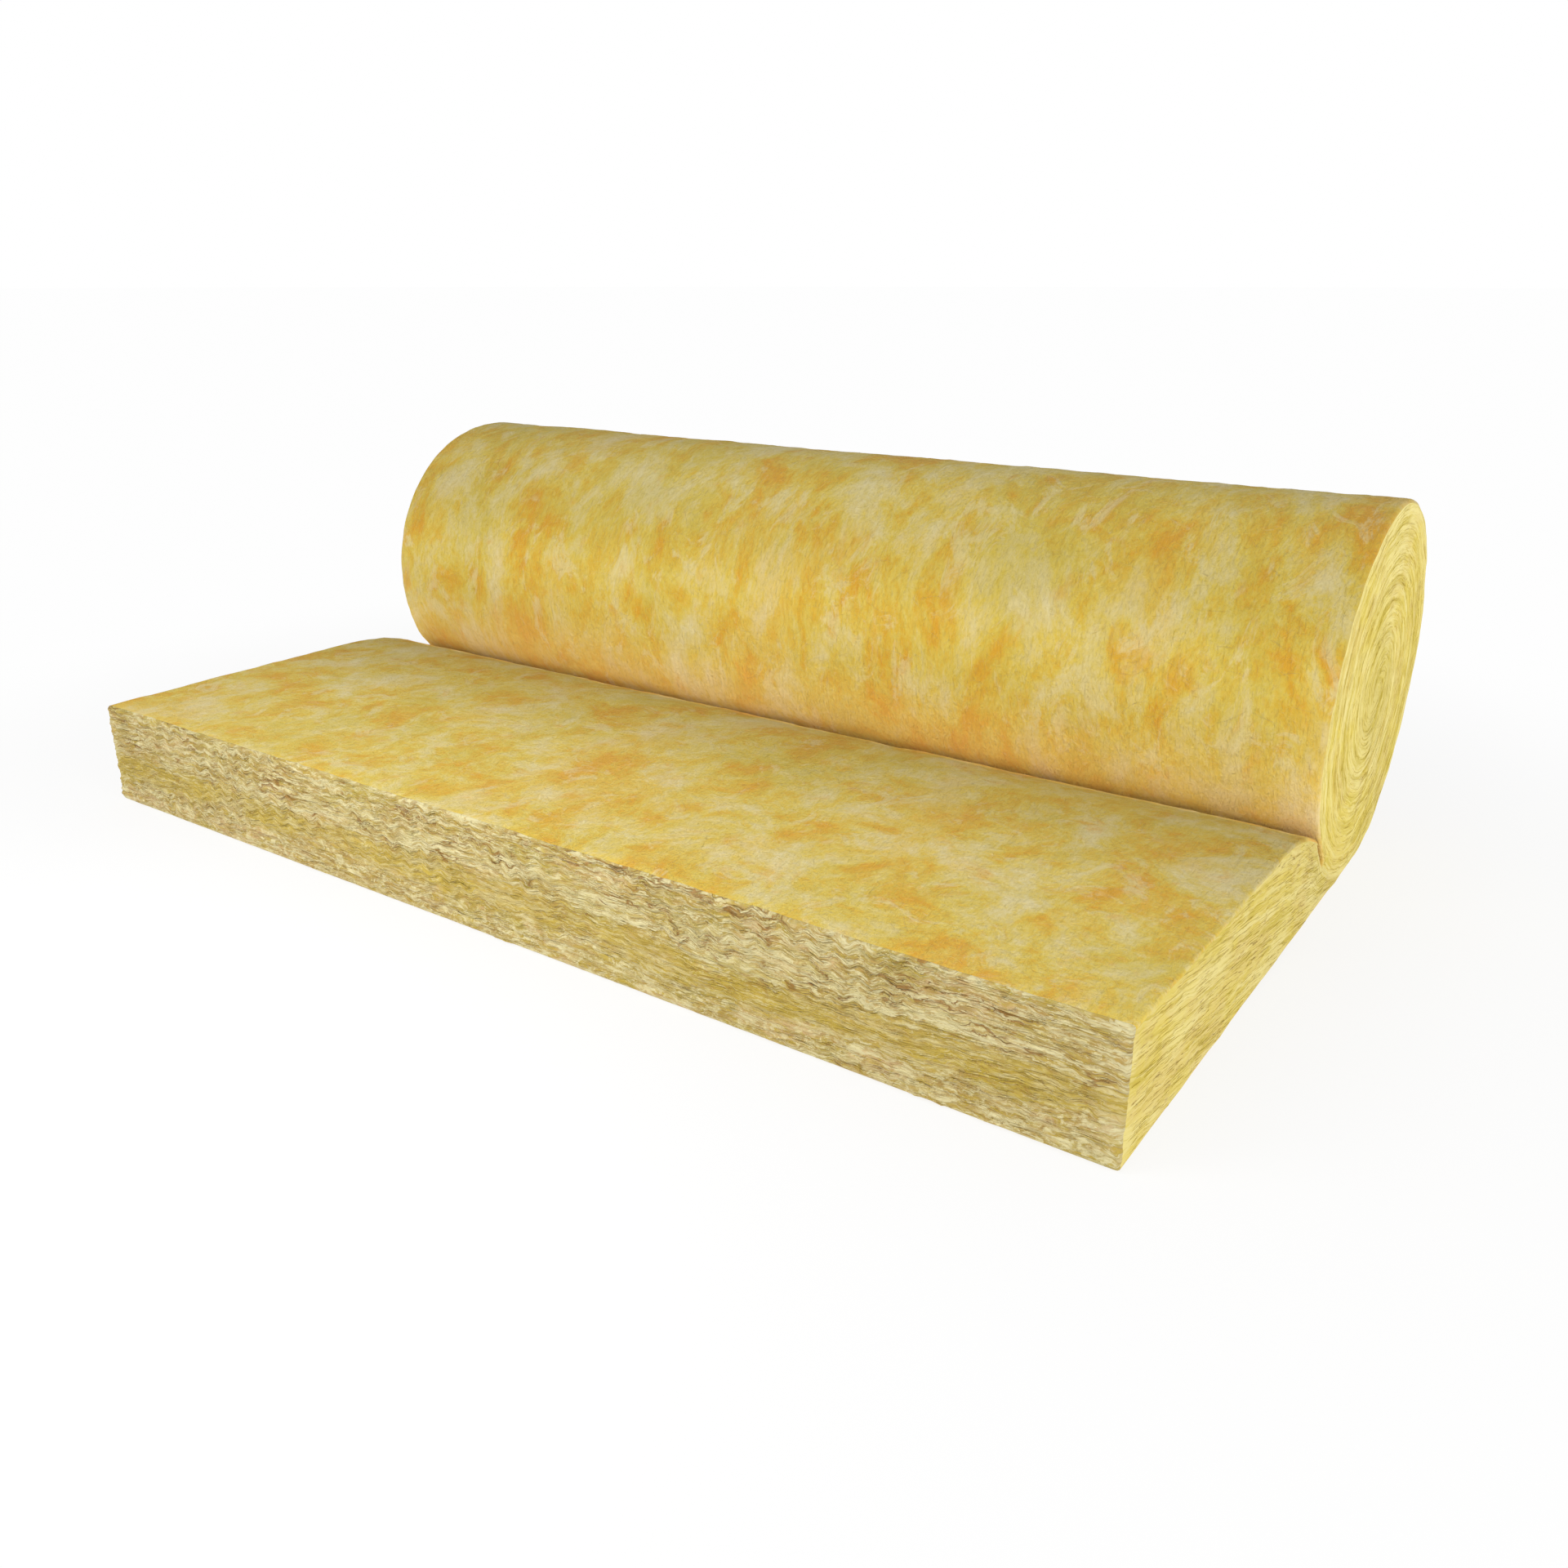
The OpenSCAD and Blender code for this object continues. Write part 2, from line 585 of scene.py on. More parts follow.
class WoolBlanket:
    """The blanket itself: a closed mesh with soft rims, layers and a wound end."""

    NAME = "glass_wool_blanket"
    STATION = 0.0063
    RIM = 0.0030
    RIM_SHARES = (0.0, 0.25, 0.6, 1.0)
    FILL = 0.0042
    FILL_SCATTER = 0.2
    SEAM_HALF = 0.0026
    SEAM_STEP = 0.0052
    SMOOTH_ANGLE = math.radians(65)
    FELT_LUMPS = (Lumps(0.0011, 8.0, 1, 2), Lumps(0.0008, 32.0, 2, 3), Lumps(0.0005, 95.0, 3, 2))
    CUT_RIDGES = Lumps(0.0019, (16.0, 230.0, 1.0), 4, 2)
    CUT_THREADS = Lumps(0.0008, (60.0, 520.0, 1.0), 14, 1)
    CUT_LUMPS = Lumps(0.0012, 38.0, 5, 2)
    TORN_EDGE = 0.012
    TORN_DEPTH = 0.0060
    GROOVE_DEPTH = 0.0020
    GROOVE_WIDTH = 0.0017
    TURN_BULGE = 0.0008
    TURN_LUMPS = Lumps(0.0006, 1.0, 7, 2)
    SIDE_LUMPS = Lumps(0.0008, 1.0, 8, 2)
    END_LUMPS = Lumps(0.0010, 30.0, 9, 2)

    def __init__(self, shape: BlanketShape, crimp: Crimp) -> None:
        """Keeps the sizes that the mesh is built from.

        Args:
            shape: The blanket's sizes.
            crimp: The zigzag of the cut face.
        """
        self.shape = shape
        self.crimp = crimp
        self.ring = SectionRing.of(shape)
        self.piece: bpy.types.Object | None = None

    def build(self) -> bpy.types.Object:
        """Wraps a sheet round the section, closes its ends and raises the relief.

        Returns:
            The finished piece, without materials.
        """
        self._wrap_sheet()
        self._close_ends()
        self._raise_relief()
        choose(self.piece)
        bpy.ops.object.shade_smooth_by_angle(angle=self.SMOOTH_ANGLE)
        return self.piece

    def _stations(self) -> np.ndarray:
        """Places along X, close together at the soft rims.

        Returns:
            The places, from the far end to the near one.
        """
        half = self.shape.width / 2
        rim = half - np.array(self.RIM_SHARES) * self.RIM
        middle = SectionRing._spread(-rim[-1], rim[-1], self.STATION)
        return np.concatenate([-rim, middle[1:-1], rim[::-1]])

    def _rim_offset(self, x: np.ndarray) -> np.ndarray:
        """How far the section is drawn in at a place along X, to round the rim."""
        left = np.clip(self.RIM - (self.shape.width / 2 - np.abs(x)), 0, self.RIM)
        return self.RIM - np.sqrt(np.maximum(self.RIM ** 2 - left ** 2, 0))

    def _wrap_sheet(self) -> None:
        """Adds a grid sheet and wraps it round the section, edge to edge."""
        stations, count = self._stations(), len(self.ring.points)
        bpy.ops.object.select_all(action="DESELECT")
        bpy.ops.mesh.primitive_grid_add(
            x_subdivisions=len(stations) - 1, y_subdivisions=count, size=1.0,
            calc_uvs=True, location=(0, 0, 0))
        self.piece = bpy.context.object
        self.piece.name = self.piece.data.name = self.NAME
        mesh = self.piece.data
        places = read_rows(mesh.vertices, "co", 3) + 0.5
        column = np.rint(places[:, 0] * (len(stations) - 1)).astype(int)
        row = np.rint(places[:, 1] * count).astype(int) % count
        x = stations[column]
        section = self.ring.points[row] + (
            self.ring.inward()[row] * self._rim_offset(x)[:, None])
        mesh.vertices.foreach_set("co", np.column_stack([x, section]).ravel())
        self._flatten_map(mesh, stations)
        for polygon in mesh.polygons:
            first = min(row[v] for v in polygon.vertices)
            last = max(row[v] for v in polygon.vertices)
            edge = first if last - first == 1 else last
            polygon.material_index = self.ring.zones[edge].value
        bpy.ops.object.mode_set(mode="EDIT")
        bpy.ops.mesh.select_all(action="SELECT")
        bpy.ops.mesh.remove_doubles(threshold=TINY)
        bpy.ops.mesh.normals_make_consistent(inside=False)
        bpy.ops.mesh.select_mode(type="EDGE")
        bpy.ops.object.mode_set(mode="OBJECT")
        self._split_cut_face()

    def _split_cut_face(self) -> None:
        """Splits the cut face's long edges once and maps each spot to its layer."""
        front = self.shape.front_y + 10 * TINY
        mesh = bmesh.new()
        mesh.from_mesh(self.piece.data)
        for part in (*mesh.verts, *mesh.edges, *mesh.faces):
            part.select = False
        for edge in mesh.edges:
            start, end = (v.co for v in edge.verts)
            edge.select = (abs(start.z - end.z) < TINY and max(start.y, end.y) < front
                           and abs(start.x - end.x) > self.STATION / 2)
        mesh.to_mesh(self.piece.data)
        mesh.free()
        bpy.ops.object.mode_set(mode="EDIT")
        bpy.ops.mesh.subdivide(number_cuts=1)
        bpy.ops.object.mode_set(mode="OBJECT")
        mesh = self.piece.data
        flat, places = read_rows(mesh.uv_layers[0].data, "uv", 2), read_rows(mesh.vertices, "co", 3)
        corner = read_corners(mesh)
        layers = np.zeros(len(places))
        cut = places[:, 1] < self.shape.front_y + self.RIM + 0.0015
        layers[cut] = places[cut, 2] - self.crimp.shift(places[cut, 0], places[cut, 2])
        for polygon in mesh.polygons:
            if polygon.material_index == Zone.CUT.value:
                loops = list(polygon.loop_indices)
                flat[loops, 1] = layers[corner[loops]]
        mesh.uv_layers[0].data.foreach_set("uv", flat.ravel())

    def _flatten_map(self, mesh: bpy.types.Mesh, stations: np.ndarray) -> None:
        """Turns the grid's own map into metres across and along the felt.

        Args:
            mesh: The grid's mesh, not yet welded.
            stations: Places along X of the grid's columns.
        """
        layer = mesh.uv_layers[0]
        layer.name = FELT_UV
        flat = read_rows(layer.data, "uv", 2)
        column = np.rint(flat[:, 0] * (len(stations) - 1)).astype(int)
        row = np.rint(flat[:, 1] * len(self.ring.points)).astype(int)
        metres = np.column_stack([stations[column], self.ring.along[row]])
        layer.data.foreach_set("uv", metres.ravel())

    def _close_ends(self) -> None:
        """Fills both open ends with a fine net that follows the spiral seam."""
        net, triangles, edge_count = self._end_net()
        mesh = bmesh.new()
        mesh.from_mesh(self.piece.data)
        for side in (-1, 1):
            x = side * self.shape.width / 2
            rim = self._rim_vertices(mesh, x)
            inner = [mesh.verts.new((x, y, z)) for y, z in net[edge_count:]]
            corners = rim + inner
            for a, b, c in triangles:
                order = (a, b, c) if side > 0 else (a, c, b)
                face = mesh.faces.new([corners[i] for i in order])
                face.material_index = Zone.END.value
        mesh.normal_update()
        mesh.to_mesh(self.piece.data)
        mesh.free()

    def _rim_vertices(self, mesh: bmesh.types.BMesh, x: float) -> list:
        """Finds the open rim's vertices at one end.

        Args:
            mesh: The wrapped sheet.
            x: The end's place along X.

        Returns:
            The vertices in the ring's order.
        """
        places = self.ring.points + self.ring.inward() * self.RIM
        rim = [v for v in mesh.verts if abs(v.co.x - x) < TINY]
        spots = np.array([(v.co.y, v.co.z) for v in rim])
        return [rim[int(np.argmin(np.hypot(*(spots - place).T)))] for place in places]

    def _end_net(self) -> tuple[np.ndarray, list, int]:
        """Points and triangles of an end face.

        Returns:
            The points (y, z), the triangles, and how many points are the rim's.
        """
        rim = self.ring.points + self.ring.inward() * self.RIM
        edge_ring = SectionRing(rim, self.ring.zones, self.ring.along)
        seam = self._seam_points(edge_ring)
        fill = self._fill_points(edge_ring)
        points = np.vstack([rim, seam, fill])
        edges = [(i, (i + 1) % len(rim)) for i in range(len(rim))]
        made = geometry.delaunay_2d_cdt(
            [Vector(p) for p in points.tolist()], edges, [], 1, 1e-7, False)
        net = np.array([(v.x, v.y) for v in made[0]])
        triangles = np.array([tuple(t) for t in made[2]])
        a, b, c = (net[triangles[:, i]] for i in range(3))
        triangles = triangles[edge_ring.depth_of((a + b + c) / 3) > 0]
        return net, triangles.tolist(), len(rim)

    def _seam_points(self, edge_ring: SectionRing) -> np.ndarray:
        """Three lines of points along the seam: its floor and its two banks.

        Args:
            edge_ring: The end face's rim.

        Returns:
            The points (y, z) inside the rim.
        """
        shape = self.shape
        spots = []
        angle = shape.meet_angle + (shape.crease_length + 0.006) / shape.roll_radius
        while angle < shape.seam_end_angle:
            radius = shape.seam_radius(angle)
            spots += [shape.polar(radius + k * self.SEAM_HALF, angle) for k in (-1, 0, 1)]
            angle += self.SEAM_STEP / max(radius, 0.02)
        spots = np.array(spots)
        return spots[edge_ring.depth_of(spots) > 0.0015]

    def _fill_points(self, edge_ring: SectionRing) -> np.ndarray:
        """Loosely even points that keep clear of the rim and the seam.

        Args:
            edge_ring: The end face's rim.

        Returns:
            The points (y, z).
        """
        shape, step = self.shape, self.FILL
        rows = np.arange(0, 2 * shape.roll_radius, step * math.sqrt(3) / 2)
        columns = np.arange(shape.front_y, shape.depth / 2, step)
        y, z = np.meshgrid(columns, rows)
        y = y + (np.arange(len(rows)) % 2)[:, None] * step / 2
        scatter = np.random.RandomState(11).uniform(
            -self.FILL_SCATTER, self.FILL_SCATTER, (2, *y.shape)) * step
        spots = np.column_stack([(y + scatter[0]).ravel(), (z + scatter[1]).ravel()])
        spots = spots[edge_ring.depth_of(spots) > 0.6 * step]
        winding = Winding.at(shape, spots[:, 0], spots[:, 1])
        to_seam = np.minimum(winding.share, 1 - winding.share) * shape.turn
        clear = (to_seam > self.SEAM_HALF + 0.45 * step) | (
            winding.radius > shape.roll_radius) | (winding.radius < shape.middle_radius)
        return spots[clear]

    def _raise_relief(self) -> None:
        """Moves every vertex along its normal by the relief of its part."""
        mesh = self.piece.data
        places = read_rows(mesh.vertices, "co", 3)
        normals = read_rows(mesh.vertex_normals, "vector", 3)
        x, y, z = places.T
        to_end = np.abs(normals[:, 0]) ** 2
        to_cut = np.clip(-normals[:, 1], 0, 1) ** 2 * (y < self.shape.front_y + 0.006)
        felt = sum(lumps.at(places) for lumps in self.FELT_LUMPS)
        lift = (felt * (1 - to_end) * (1 - to_cut)
                + self._cut_relief(x, z) * to_cut
                + self._end_relief(x, y, z) * to_end)
        rests = (z < 0.002) & (normals[:, 2] < -0.5)
        lift = np.where(rests, np.abs(lift) * -0.3, lift)
        moved = places + normals * lift[:, None]
        moved[:, 2] = np.maximum(moved[:, 2], 0.0)
        mesh.vertices.foreach_set("co", moved.ravel())
        mesh.update()

    def _cut_relief(self, x: np.ndarray, z: np.ndarray) -> np.ndarray:
        """Ridges of the cut face's layers, torn a little at its top edge.

        Args:
            x: Places along the cut face.
            z: Heights.

        Returns:
            The relief at each spot.
        """
        layer = z - self.crimp.shift(x, z)
        none = np.zeros_like(x)
        layered, flat = (np.column_stack([x, up, none]) for up in (layer, z))
        torn = np.clip((z - self.shape.thickness + self.TORN_EDGE) / self.TORN_EDGE, 0, 1)
        bites = np.clip(wool_noise(np.column_stack([x, none, none]), 62.0, 6, 3), 0, 1)
        grounded = np.clip(z / 0.008, 0.25, 1)
        lumps = (self.CUT_RIDGES.at(layered) + self.CUT_THREADS.at(layered)
                 + self.CUT_LUMPS.at(flat))
        return lumps * grounded - torn * self.TORN_DEPTH * bites

    def _end_relief(self, x: np.ndarray, y: np.ndarray, z: np.ndarray) -> np.ndarray:
        """Turns that bulge between the grooves of the seam, and layers beside the flat end.

        Args:
            x: Places along X, whose sign tells the two ends apart.
            y: Places along Y.
            z: Heights.

        Returns:
            The relief at each spot.
        """
        shape = self.shape
        winding = Winding.at(shape, y, z)
        wound = (winding.radius < shape.roll_radius - 0.001) & (
            winding.radius > shape.middle_radius)
        off_middle = (winding.share - 0.5) * 2
        to_seam = np.minimum(winding.share, 1 - winding.share) * shape.turn
        depth = 0.6 + 0.4 * np.sin(winding.angle * 1.7 + 0.5) * np.sin(winding.angle * 0.6)
        groove = -self.GROOVE_DEPTH * depth * np.exp(-(to_seam / self.GROOVE_WIDTH) ** 2)
        bulge = self.TURN_BULGE * (1 - off_middle ** 2) - 0.0003
        side = np.sign(x) * 3.0
        spots = np.column_stack([np.cos(winding.angle) * winding.radius * 10 + side,
                                 np.sin(winding.angle) * winding.radius * 10,
                                 winding.share * shape.turn * 190])
        turns = bulge + groove + self.TURN_LUMPS.at(spots)
        layer = z * shape.thickness / shape.top_height(y)
        beside = np.column_stack([y * 20.0 + side, (layer + y * 0.18) * 170.0, x * 0])
        return np.where(wound, turns, self.SIDE_LUMPS.at(beside)) + (
            self.END_LUMPS.at(np.column_stack([x, y, z])))


def read_rows(items: bpy.types.bpy_prop_collection, name: str, width: int) -> np.ndarray:
    """Reads one property of every item.

    Args:
        items: The items.
        name: The property's name.
        width: How many numbers it has.

    Returns:
        One row for each item.
    """
    values = np.empty(len(items) * width)
    items.foreach_get(name, values)
    return values.reshape(-1, width)


def read_corners(mesh: bpy.types.Mesh) -> np.ndarray:
    """Reads which vertex each face corner of a mesh uses.

    Args:
        mesh: The mesh.

    Returns:
        One vertex number for each corner.
    """
    corners = np.empty(len(mesh.loops), int)
    mesh.loops.foreach_get("vertex_index", corners)
    return corners


def choose(piece: bpy.types.Object) -> None:
    """Selects one piece alone and makes it the active one.

    Args:
        piece: The piece.
    """
    bpy.ops.object.select_all(action="DESELECT")
    piece.select_set(True)
    bpy.context.view_layer.objects.active = piece


def wool_noise(places: np.ndarray, scale: float | tuple[float, float, float], seed: int,
               octaves: int) -> np.ndarray:
    """Cloudy noise of about -1 to 1, the same at every run.

    Args:
        places: Points, one in each row.
        scale: Lumps for each unit, the same or its own for each of the three axes.
        seed: Which pattern it is.
        octaves: Number of finer layers.

    Returns:
        One value for each point.
    """
    shifted = places * scale + seed * SEED_GAP
    return np.array([noise.fractal(spot, NOISE_FADE, NOISE_FINER, octaves)
                     for spot in shifted.tolist()])


# ---------------------------------------------------------------------------
# Finishes
# ---------------------------------------------------------------------------


@dataclass(frozen=True)
class FeltFinish:
    """The two matted faces: golden yellow, with orange blotches and cream wisps."""

    orange: tuple = rgb(224, 168, 50)
    gold: tuple = rgb(224, 186, 68)
    lemon: tuple = rgb(226, 200, 92)
    pale: tuple = rgb(227, 207, 132)
    cream: tuple = rgb(231, 216, 162)
    olive: tuple = rgb(205, 186, 78)
    peach: tuple = rgb(236, 184, 92)
    grey: tuple = rgb(178, 155, 92)
    painted_shade: tuple = (0.74, 0.735, 0.70, 1.0)
    painted_bounce: tuple = rgb(244, 196, 118)

    def build(self, name: str = "wool_felt", faded: float = 0.0) -> bpy.types.Material:
        """Makes the felt's material, which follows the piece's own flat map.

        Args:
            name: The material's name.
            faded: Share of cream in all of it.

        Returns:
            The material.
        """
        graph = Graph(name)
        across, length = graph.flat_place()
        _, y, z = graph.place()
        along = length * 0.58 + y.smaller(0.03) * z.ramp(0.05, 0.08, 0.0, 0.30)
        tone = graph.clouds(graph.vector(across, along), 12.5, 6.0, 0.76, 0.35)
        hue = graph.clouds(graph.vector(across + 9.1, along), 6.0, 4.0, 0.65)
        blotch = graph.clouds(graph.vector(across + 5.3, along), 22.0, 4.0, 0.66, 0.4)
        wisp = graph.clouds(graph.vector(across + 3.7, along), 24.0, 5.0, 0.74, 0.9)
        streak = graph.clouds(graph.vector(across * 330.0, length * 80.0), 1.0, 3.0, 0.65, 0.9)
        matted = graph.clouds(graph.vector(across * 240.0, along * 300.0, 3.0), 1.0, 3.0, 0.7, 0.8)
        grain = streak * 0.55 + matted * 0.45
        colour = graph.coat(
            graph.stops(tone, {0.37: self.orange, 0.44: self.gold, 0.50: self.lemon,
                               0.57: self.pale, 0.65: self.cream}),
            (hue.ramp(0.50, 0.66, 0.0, 0.35), self.olive),
            (hue.ramp(0.50, 0.36, 0.0, 0.20), self.peach),
            (blotch.ramp(0.55, 0.72, 0.0, 0.70), self.orange),
            (wisp.ramp(0.52, 0.65, 0.0, 0.60), self.cream),
            (grain.ramp(0.50, 0.62, 0.0, 0.12), self.cream),
            (grain.ramp(0.48, 0.38, 0.0, 0.26), self.grey),
            (faded, self.cream))
        # Painted shade, heights and places in metres: darker towards the fold and over the roll,
        # most on its upper part
        fold_shade = y.ramp(-0.24, -0.02, 0.0, 0.95) * y.ramp(0.004, 0.020, 1.0, 0.0)
        roll_shade = z.ramp(0.12, 0.18, 0.0, 0.56) + (
            z.ramp(0.23, 0.29, 0.0, 0.42) * z.ramp(0.31, 0.35, 1.0, 0.35))
        colour = graph.tint(fold_shade.larger(roll_shade), colour, self.painted_shade, "MULTIPLY")
        # Painted bounce light: warmer low on the front of the roll
        bounce_light = z.ramp(0.10, 0.19, 0.32, 0.0) * y.ramp(0.012, 0.026) * y.ramp(0.20, 0.17)
        colour = graph.tint(bounce_light * (grain * 0.8 + 0.5), colour, self.painted_bounce)
        height = grain * 0.9 + tone * 0.5 + wisp * 0.3
        return graph.finish(colour, 0.95, graph.bump(height, 0.95, 0.0042))


@dataclass(frozen=True)
class CutFinish:
    """The square-cut face: pale and tan crimped layers over a denser mustard band."""

    beige: tuple = rgb(186, 168, 106)
    white: tuple = rgb(214, 203, 155)
    tan: tuple = rgb(176, 147, 83)
    mustard: tuple = rgb(181, 157, 65)
    olive: tuple = rgb(174, 161, 73)
    crevice_shade: tuple = rgb(150, 108, 50)
    rose: tuple = rgb(204, 172, 128)

    def build(self) -> bpy.types.Material:
        """Makes the cut face's material, which follows the piece's own map of layers.

        Returns:
            The material.
        """
        graph = Graph("wool_cut_face")
        x, layer = graph.flat_place()
        _, _, z = graph.place()
        bent = graph.clouds(graph.vector(x * 42.0, z * 60.0, 4.0), 1.0, 3.0, 0.62, 0.5)
        layer = layer + (bent - 0.5) * 0.012
        sheets = graph.clouds(graph.vector(x * 16.0, layer * 190.0), 1.0, 4.0, 0.66, 0.5)
        threads = graph.clouds(graph.vector(x * 70.0, layer * 620.0, 4.0), 1.0, 3.0, 0.65, 0.5)
        patches = graph.clouds(graph.vector(x * 9.0, z * 20.0, 8.0), 1.0, 4.0, 0.62, 0.5)
        rosy = graph.clouds(graph.vector(x * 11.0, z * 26.0, 3.0), 1.0, 4.0, 0.66, 0.6)
        strokes = graph.clouds(
            graph.vector(x * 60.0 + layer * 90.0, layer * 230.0, 9.0), 1.0, 3.0, 0.66, 0.9)
        flocks = graph.clouds(graph.vector(x * 50.0, layer * 120.0, 2.0), 1.0, 4.0, 0.7, 1.6)
        # Beds by height in metres, with ragged edges
        edge = layer + (patches - 0.5) * 0.046
        band = edge.ramp(0.026, 0.040) * edge.ramp(0.050, 0.066, 1.0, 0.0)
        upper = edge.ramp(0.048, 0.064)
        foot = edge.ramp(0.038, 0.024)
        pale_bed = edge.ramp(0.058, 0.068) * edge.ramp(0.078, 0.094, 1.0, 0.0)
        torn = graph.clouds(graph.vector(x * 19.0 + 5.0, layer * 150.0, 6.0), 1.0, 2.0, 0.5, 0.4)
        broken = graph.clouds(graph.vector(x * 15.0, layer * 40.0, 7.0), 1.0, 3.0, 0.6)
        # Painted shade in the cracks between layers, which are also sunk in the bump
        cracks = (torn - 0.5).abs().ramp(0.030, 0.004) * broken.ramp(0.47, 0.58) * (
            upper * 0.55 + 0.45)
        colour = graph.coat(
            graph.tint(flocks.ramp(0.40, 0.60), self.beige, self.tan),
            (patches.ramp(0.44, 0.62) * 0.6, self.olive),
            (rosy.ramp(0.52, 0.64) * 0.60, self.rose),
            (strokes.ramp(0.48, 0.37) * 0.8, self.mustard),
            (strokes.ramp(0.53, 0.64) * 0.65, self.white),
            (band * patches.ramp(0.36, 0.52, 0.5, 1.0), self.mustard),
            (pale_bed * patches.ramp(0.40, 0.56) * 0.55, self.white),
            (sheets.ramp(0.50, 0.60) * (upper * 0.60 + 0.38), self.white),
            (sheets.ramp(0.48, 0.38) * 0.60, self.mustard),
            (flocks.ramp(0.50, 0.41) * (foot * 0.75 + 0.12), self.white),
            (threads.ramp(0.52, 0.62) * (upper * 0.40 + 0.40), self.white),
            (threads.ramp(0.48, 0.38) * (upper * 0.40 + 0.35), self.tan),
            (cracks * 0.85, self.crevice_shade))
        height = (sheets + threads) * (upper * 0.35 + 0.20) + strokes * 0.35 + (
            flocks * (foot * 0.4 + 0.3)) - cracks * 0.35
        return graph.finish(colour, 0.96, graph.bump(height, 0.85, 0.0036))


@dataclass(frozen=True)
class EndFinish:
    """The sides of the blanket: lemon layers that wind with the roll."""

    lemon: tuple = rgb(228, 207, 100)
    straw: tuple = rgb(226, 203, 118)
    pale: tuple = rgb(239, 224, 146)
    olive: tuple = rgb(202, 180, 61)
    fleck: tuple = rgb(158, 126, 57)
    shaded: tuple = (0.90, 0.89, 0.88, 1.0)
    bands: tuple = (95.0, 6.0, 4.0)
    threads: tuple = (420.0, 18.0, 3.0)
    flecks: tuple = (330.0, 46.0, 2.0)

    def build(self, shape: BlanketShape) -> bpy.types.Material:
        """Makes the end faces' material.

        Args:
            shape: The blanket's sizes, which place the seam and the layers.

        Returns:
            The material.
        """
        graph = Graph("wool_wound_end")
        x, y, z = graph.place()
        across, up = y - shape.axis_y, z - shape.roll_radius
        radius = (across * across + up * up).sqrt()
        lap = (up.angle(across) - shape.meet_angle) * (1.0 / math.tau)
        lap = lap - lap.floor()
        wound = (shape.roll_radius - radius) * (1.0 / shape.turn) - lap
        turn = wound.floor()
        share = wound - turn
        deep, far = share * shape.turn, (lap + turn) * 0.62
        mouth_y, mouth_z = shape.polar(
            shape.roll_radius + shape.crease_width / 2, shape.meet_angle)
        sunk = ((y - (mouth_y - shape.sink_length)) * (1.0 / shape.sink_length)
                ).larger(0.0).smaller(1.0) ** shape.sink_power
        top = shape.thickness - sunk * (shape.thickness - mouth_z)
        under = shape.roll_radius - (
            shape.roll_radius ** 2 - across * across).larger(0.0).sqrt()
        flat_deep = z / top.smaller(under + 0.004) * shape.thickness + y * 0.16
        flat = radius.ramp(shape.roll_radius - 0.004, shape.roll_radius + 0.004)
        wobble = (graph.clouds(graph.vector(y, z, x), 30.0, 3.0) - 0.5) * 0.014
        bands, threads, flecks = (
            self._layered(graph, deep + wobble, far, flat_deep + wobble, y, flat, *sizes)
            for sizes in (self.bands, self.threads, self.flecks))
        clumps = graph.clouds(graph.vector(y, z, x * 4.0), 24.0, 4.0, 0.65, 0.5)
        drifts = graph.clouds(graph.vector(y + 2.0, z, x * 4.0), 8.0, 3.0, 0.6, 0.3)
        to_seam = share.smaller(1.0 - share) * shape.turn
        closed = drifts.ramp(0.40, 0.60, 0.35, 1.0)
        seam = (to_seam + (threads - 0.5) * 0.004).ramp(0.0042, 0.0002) * (1.0 - flat) * closed
        # Painted highlight: a paler band just inside the roll's rounded outer edge, laid on with
        # the bands below
        rim = radius.ramp(shape.roll_radius - 0.016, shape.roll_radius - 0.007) * (1.0 - flat)
        colour = graph.coat(
            graph.tint(clumps.ramp(0.40, 0.62), self.lemon, self.straw),
            (drifts.ramp(0.48, 0.62) * 0.70, self.pale),
            (drifts.ramp(0.50, 0.38) * 0.55, self.lemon),
            (bands.ramp(0.50, 0.64) * 0.75, self.pale),
            (bands.ramp(0.48, 0.36) * 0.70, self.olive),
            (seam * 0.45, self.olive),
            (rim * bands.ramp(0.36, 0.52) * 0.7, self.pale),
            (threads.ramp(0.51, 0.64) * 0.50, self.pale),
            (threads.ramp(0.48, 0.36) * 0.40, self.olive),
            (radius.ramp(0.085, 0.02, 0.0, 0.40), self.olive))
        colour = graph.tint(flat, colour, self.shaded, "MULTIPLY")
        specks = flecks.ramp(0.60, 0.70) * (clumps.ramp(0.44, 0.60) * (flat * 0.7 + 0.3))
        colour = graph.tint(specks * 0.7, colour, self.fleck)
        height = bands * 0.7 + threads * 0.6 - specks * 0.5 - seam * 0.3 + clumps * 0.2
        return graph.finish(colour, 0.95, graph.bump(height, 0.40, 0.0024))

    @staticmethod
    def _layered(graph: Graph, deep: Value, far: Value, flat_deep: Value, flat_far: Value,
                 flat: Value, across: float, along: float, detail: float) -> Value:
        """Noise stretched along the layers, wound in the roll and straight beside the end.

        Args:
            graph: The material's graph.
            deep: Depth in the turn.
            far: Length wound.
            flat_deep: Height in the flat end.
            flat_far: Length in the flat end.
            flat: One in the flat end and nought in the roll.
            across: Layers for each metre of depth.
            along: Patches for each metre of length.
            detail: Number of finer noise layers.

        Returns:
            The noise as a Value.
        """
        wound = graph.clouds(
            graph.vector(deep * across, far * along), 1.0, detail, 0.6, 0.3)
        straight = graph.clouds(
            graph.vector(flat_deep * across, flat_far * along, 5.0), 1.0, detail, 0.6, 0.3)
        return wound + (straight - wound) * flat


# ---------------------------------------------------------------------------
# Loose fibres
# ---------------------------------------------------------------------------


@dataclass(frozen=True)
class FibreKind:
    """One kind of loose fibre: how many, how long and how thick, in metres."""

    name: str
    count: int
    length: tuple[float, float]
    half_width: tuple[float, float]
    flatness: float
    sides: int
    seed: int
    knots: int = 6


